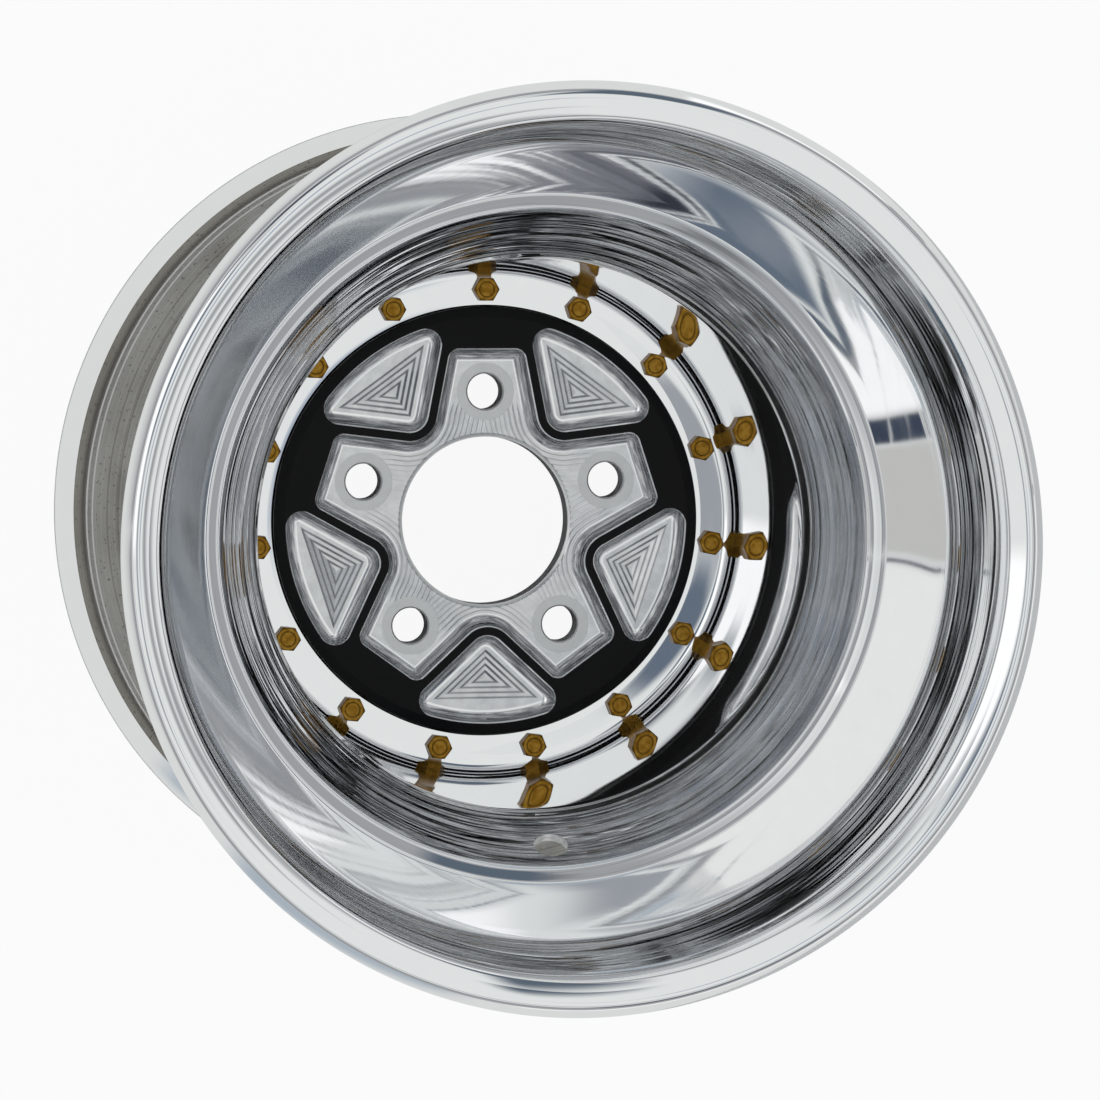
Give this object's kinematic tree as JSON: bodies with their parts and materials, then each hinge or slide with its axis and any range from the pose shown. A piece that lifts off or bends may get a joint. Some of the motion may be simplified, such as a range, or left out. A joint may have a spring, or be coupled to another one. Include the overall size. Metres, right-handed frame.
{
  "type": "drag racing wheel",
  "caption": "Wide deep-dish aluminium drag racing wheel: a spun and welded rim with a milled star-shaped billet centre held at the bottom of the dish by a ring of hex bolts.",
  "frame": {"origin": "centre of the hub mounting face, on the axle line", "axes": "+Z along the axle, out of the dish; +Y through one lug hole and one bolt"},
  "size_m": [0.4063, 0.4064, 0.3906],
  "materials": {
    "rim_aluminium": "polished on the dish side and lips, as spun on the tyre side",
    "centre_aluminium": "black face with bright milled recesses",
    "bolt_plating": "gold zinc plating"
  },
  "bodies": {
    "root": {"rim": "rim_aluminium", "wheel_centre": "centre_aluminium", "assembly_bolts": "bolt_plating"}
  },
  "joints": []
}
